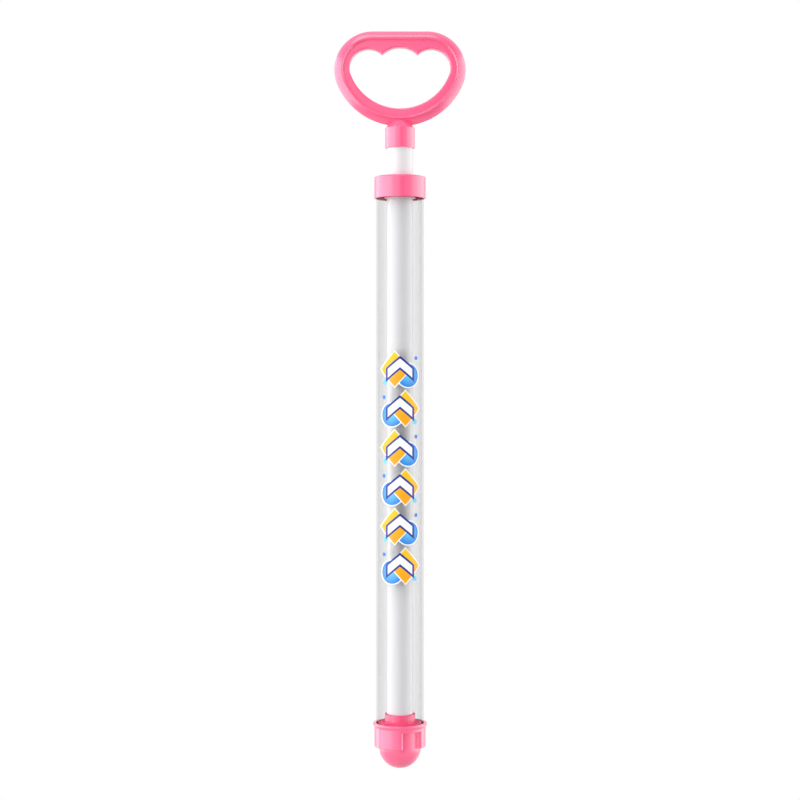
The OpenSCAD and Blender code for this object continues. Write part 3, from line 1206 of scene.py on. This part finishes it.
# %% [markdown]
# ## Light
#
# Two tall banks of soft boxes light the toy. The left bank starts right beside the camera and runs round
# the toy's left side, the right bank stands at its right. Between them, just right of the middle, the round
# pieces mirror a darker gap, and that soft dark stripe is what makes them look round. One box overhead, a
# little to the front, lights the tops of the pieces and throws their soft shadows downwards.

# %% Soft boxes
LAMP_R = 1.15
LAMP_LOW = -0.3
LAMP_HIGH = 1.0
SOFT_BOXES = {
    "left_front_box": (-2, -35, 1.1),
    "left_box": (-35, -75, 2.5),
    "left_rear_box": (-75, -130, 2.0),
    "right_front_box": (22, 55, 0.55),
    "right_box": (55, 130, 1.8),
}


def soft_box(name, start, end, radiance):
    """Upright soft box that spans two directions, in degrees left (below 0) or right of the camera."""
    ends = [LAMP_R * Vector((math.sin(math.radians(a)), -math.cos(math.radians(a)))) for a in (start, end)]
    middle = (ends[0] + ends[1]) / 2
    light = bpy.data.lights.new(name, "AREA")
    light.shape = "RECTANGLE"
    light.size = (ends[1] - ends[0]).length
    light.size_y = LAMP_HIGH - LAMP_LOW
    light.energy = radiance * math.pi * light.size * light.size_y
    box = bpy.data.objects.new(name, light)
    box.location = (*middle, (LAMP_LOW + LAMP_HIGH) / 2)
    box.rotation_euler = Vector((-middle.x, -middle.y, 0)).to_track_quat("-Z", "Y").to_euler()
    box.visible_camera = False
    box.visible_transmission = False
    bpy.context.scene.collection.objects.link(box)
    print(f"{name}: {light.size:.2f} x {light.size_y:.2f} m, {light.energy:.1f} W")


for name, span in SOFT_BOXES.items():
    soft_box(name, *span)

# %% Overhead box and surround
OVERHEAD_PLACE = Vector((-0.2, -0.6, 1.45))
OVERHEAD_SIZE = 1.0
OVERHEAD_RADIANCE = 2.4
TOY_MIDDLE = 0.3
AMBIENT = 0.24
WHITE_FROM, WHITE_TO = -0.6, 0.1


def overhead_box():
    """Wide soft box above and before the toy, turned towards it."""
    light = bpy.data.lights.new("overhead_box", "AREA")
    light.size = OVERHEAD_SIZE
    light.energy = OVERHEAD_RADIANCE * math.pi * OVERHEAD_SIZE ** 2
    box = bpy.data.objects.new("overhead_box", light)
    box.location = OVERHEAD_PLACE
    box.rotation_euler = (Vector((0, 0, TOY_MIDDLE)) - OVERHEAD_PLACE).to_track_quat("-Z", "Y").to_euler()
    box.visible_camera = False
    box.visible_transmission = False
    bpy.context.scene.collection.objects.link(box)


def white_surround():
    """World that looks white behind the toy and gives a low even light."""
    world = bpy.data.worlds.new("white_surround")
    bpy.context.scene.world = world
    world.use_nodes = True
    tree = world.node_tree
    path = add_node(tree, "LightPath").outputs
    toward = add_node(tree, "SeparateXYZ", {0: add_node(tree, "TexCoord").outputs["Generated"]})
    reach = {0: toward.outputs[1], 1: WHITE_FROM, 2: WHITE_TO}
    behind = add_node(tree, "MapRange", reach, interpolation_type="SMOOTHSTEP")
    mirrored = Flow(tree, path["Is Glossy Ray"]) * behind.outputs[0]
    seen = mirrored.most(path["Is Camera Ray"]).most(path["Is Transmission Ray"])
    dim = add_node(tree, "Background", {"Color": (1, 1, 1, 1), "Strength": AMBIENT})
    lit = add_node(tree, "Background", {"Color": (1, 1, 1, 1), "Strength": 1.0})
    chosen = add_node(tree, "MixShader", {0: seen, 1: dim.outputs[0], 2: lit.outputs[0]})
    set_inputs(tree, tree.nodes["World Output"], {"Surface": chosen.outputs[0]})


overhead_box()
white_surround()
print("surround: white to the eye,", AMBIENT, "as light")

# %% [markdown]
# ## Camera
#
# The photograph looks straight at the barrel's front from a little more than a metre away. Its scale at
# the barrel's axis is two thirds of a millimetre to the pixel, which with the distance fixes the lens.

# %% Camera
IMAGE_PX = 800
TIP_ROW = 767
MM_PER_PIXEL = 0.669
VIEW_DISTANCE = 1.2
SENSOR_MM = 36.0


def front_camera():
    """Camera at the photograph's viewing angle."""
    lens = bpy.data.cameras.new("front_camera")
    lens.sensor_width = SENSOR_MM
    lens.lens = SENSOR_MM * VIEW_DISTANCE / (IMAGE_PX * MM_PER_PIXEL * MM)
    camera = bpy.data.objects.new("front_camera", lens)
    camera.location = (0, -VIEW_DISTANCE, (TIP_ROW - IMAGE_PX / 2) * MM_PER_PIXEL * MM)
    camera.rotation_euler = (math.pi / 2, 0, 0)
    bpy.context.scene.collection.objects.link(camera)
    bpy.context.scene.camera = camera
    print("lens:", round(lens.lens, 1), "mm, height:", round(camera.location.z, 4), "m")


front_camera()
bpy.context.scene.view_settings.view_transform = "Standard"
